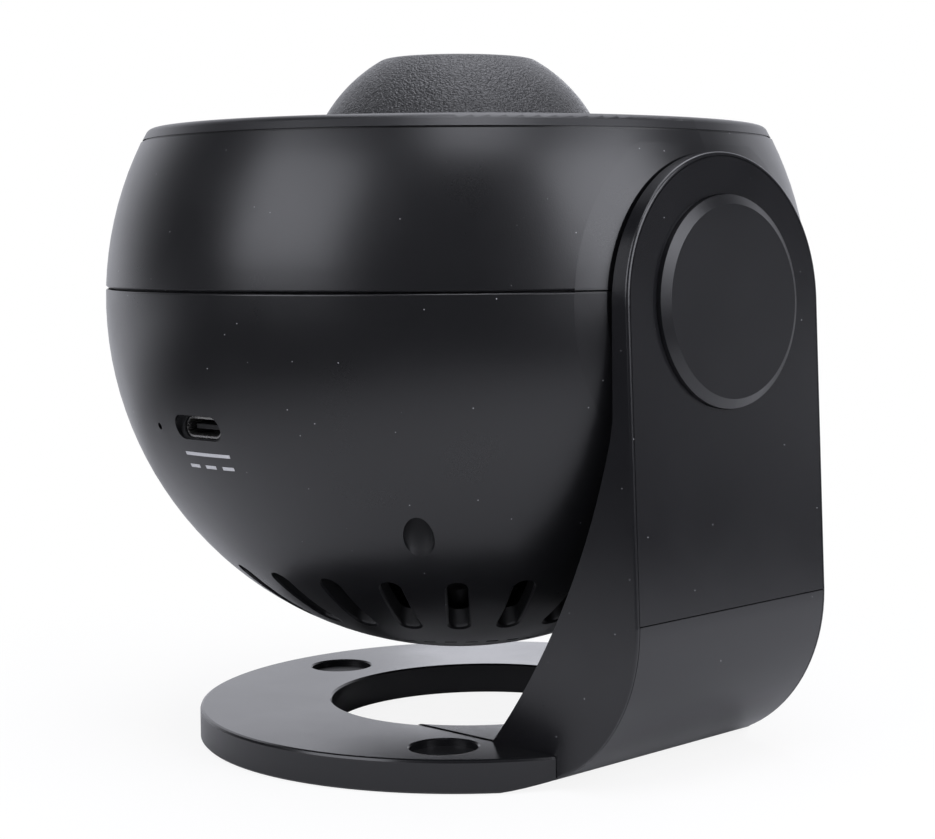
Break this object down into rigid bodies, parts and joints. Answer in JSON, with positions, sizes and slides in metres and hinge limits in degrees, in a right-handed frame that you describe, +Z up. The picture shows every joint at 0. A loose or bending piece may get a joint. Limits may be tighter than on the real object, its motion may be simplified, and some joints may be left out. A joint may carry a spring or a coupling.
{
  "type": "planetarium projector",
  "caption": "Desktop star projector: a globe with a lens dome and vented base that turns in a single upright arm on a flat ring foot",
  "frame": {"origin": "on the table, under the middle of the bounding box", "axes": "+Z up; +X from the globe to the upright arm; -Y the side with the power port; +Y the side with the buttons"},
  "size_m": [0.1215, 0.12, 0.1151],
  "materials": {
    "arm_cover_plastic": "satin, fine moulded grain",
    "arm_lower_plastic": "satin, fine moulded grain",
    "arm_plastic": "satin, fine moulded grain",
    "mat_rubber": "matt ribbed",
    "base_plastic": "satin, almost smooth top",
    "chip_plastic": "matt",
    "board_screw_steel": "zinc",
    "button_board_laminate": "solder mask",
    "button_screw_steel": "zinc",
    "light_button_plastic": "satin",
    "power_button_plastic": "satin",
    "switch_plastic": "satin",
    "turn_button_plastic": "satin",
    "condenser_glass": "polished",
    "carrier_plastic": "natural acetal",
    "motor_steel": "drawn can",
    "motor_screw_steel": "zinc",
    "pinion_plastic": "natural acetal",
    "fan_frame_plastic": "matt",
    "fan_rotor_plastic": "satin",
    "fan_screw_steel": "zinc",
    "film_plastic": "film between clear faces",
    "dome_plastic": "coarse moulded grain",
    "foot_screw_steel": "zinc",
    "friction_plastic": "natural acetal",
    "front_lens_glass": "coated",
    "sink_aluminium": "extruded",
    "sink_screw_steel": "zinc",
    "lamp_board_aluminium": "white solder mask",
    "lamp_phosphor": "phosphor",
    "lamp_tube_plastic": "matt",
    "lamp_screw_steel": "zinc",
    "barrel_plastic": "matt",
    "guide_plastic": "matt",
    "guide_screw_steel": "zinc",
    "lower_shell_plastic": "satin, fine moulded grain",
    "board_laminate": "solder mask",
    "frame_plastic": "matt",
    "pivot_steel": "turned",
    "cap_plastic": "satin, fine moulded grain",
    "nut_steel": "zinc",
    "port_steel": "nickel",
    "port_plastic": "matt",
    "rear_lens_glass": "coated",
    "bezel_plastic": "semi gloss",
    "shell_screw_steel": "black oxide",
    "spring_steel": "spring steel",
    "status_lens": "frosted clear",
    "deck_plastic": "matt",
    "upper_shell_plastic": "satin, fine moulded grain"
  },
  "bodies": {
    "stand": {"base_ring": "base_plastic", "base_mat": "mat_rubber", "foot_screws": "foot_screw_steel", "arm_shell": "arm_plastic", "arm_cover": "arm_cover_plastic", "arm_lower_cover": "arm_lower_plastic", "pivot_cap": "cap_plastic", "pivot_bolt": "pivot_steel", "friction_washer": "friction_plastic", "spring_washer": "spring_steel", "pivot_nut": "nut_steel"},
    "globe": {"board_chips": "chip_plastic", "board_screws": "board_screw_steel", "button_board": "button_board_laminate", "button_board_screws": "button_screw_steel", "button_switches": "switch_plastic", "condenser_lens": "condenser_glass", "drive_motor": "motor_steel", "drive_motor_screws": "motor_screw_steel", "fan_frame": "fan_frame_plastic", "fan_screws": "fan_screw_steel", "heat_sink": "sink_aluminium", "heat_sink_screws": "sink_screw_steel", "lamp_board": "lamp_board_aluminium", "lamp_emitter": "lamp_phosphor", "lamp_tube": "lamp_tube_plastic", "lamp_tube_screws": "lamp_screw_steel", "lens_guide": "guide_plastic", "lens_guide_screws": "guide_screw_steel", "lower_shell": "lower_shell_plastic", "main_board": "board_laminate", "optics_frame": "frame_plastic", "port_shell": "port_steel", "port_tongue": "port_plastic", "rim_bezel": "bezel_plastic", "shell_screws": "shell_screw_steel", "status_light": "status_lens", "top_deck": "deck_plastic", "upper_shell": "upper_shell_plastic"},
    "disc_turntable": {"disc_carrier": "carrier_plastic", "film_disc": "film_plastic"},
    "pinion": {"drive_pinion": "pinion_plastic"},
    "fan": {"fan_rotor": "fan_rotor_plastic"},
    "dome": {"focus_dome": "dome_plastic"},
    "barrel": {"lens_barrel": "barrel_plastic", "front_lens": "front_lens_glass", "rear_lens": "rear_lens_glass"},
    "power_key": {"button_power": "power_button_plastic"},
    "light_key": {"button_light": "light_button_plastic"},
    "turn_key": {"button_turn": "turn_button_plastic"}
  },
  "joints": [
    {"name": "globe_tilt", "type": "hinge", "parent": "stand", "child": "globe", "pos_m": [0.0554, 0, 0.0743], "axis": [1, 0, 0], "continuous": true},
    {"name": "focus_turn", "type": "hinge", "parent": "globe", "child": "dome", "pos_m": [-0.00055, 0, 0.1], "axis": [0, 0, 1], "range_deg": [-60, 60]},
    {"name": "lens_slide", "type": "slide", "parent": "globe", "child": "barrel", "axis": [0, 0, 1], "range_m": [-0.002, 0.002]},
    {"name": "disc_turn", "type": "hinge", "parent": "globe", "child": "disc_turntable", "pos_m": [-0.00055, 0, 0.0803], "axis": [0, 0, 1], "continuous": true},
    {"name": "pinion_turn", "type": "hinge", "parent": "globe", "child": "pinion", "pos_m": [-0.01929, 0.03248, 0.0783], "axis": [0, 0, 1], "continuous": true},
    {"name": "fan_spin", "type": "hinge", "parent": "globe", "child": "fan", "pos_m": [-0.00055, 0, 0.0333], "axis": [0, 0, 1], "continuous": true},
    {"name": "power_press", "type": "slide", "parent": "globe", "child": "power_key", "axis": [0, 0, -1], "range_m": [0, 0.0003], "stiffness_N_per_m": 2000, "springref_m": -0.00015},
    {"name": "light_press", "type": "slide", "parent": "globe", "child": "light_key", "axis": [0, 0, -1], "range_m": [0, 0.0003], "stiffness_N_per_m": 2000, "springref_m": -0.00015},
    {"name": "turn_press", "type": "slide", "parent": "globe", "child": "turn_key", "axis": [0, 0, -1], "range_m": [0, 0.0003], "stiffness_N_per_m": 2000, "springref_m": -0.00015}
  ],
  "couplings": [
    {"joint": "lens_slide", "follows": "focus_turn", "m_per_rad": 0.0019},
    {"joint": "pinion_turn", "follows": "disc_turn", "ratio": -4}
  ]
}
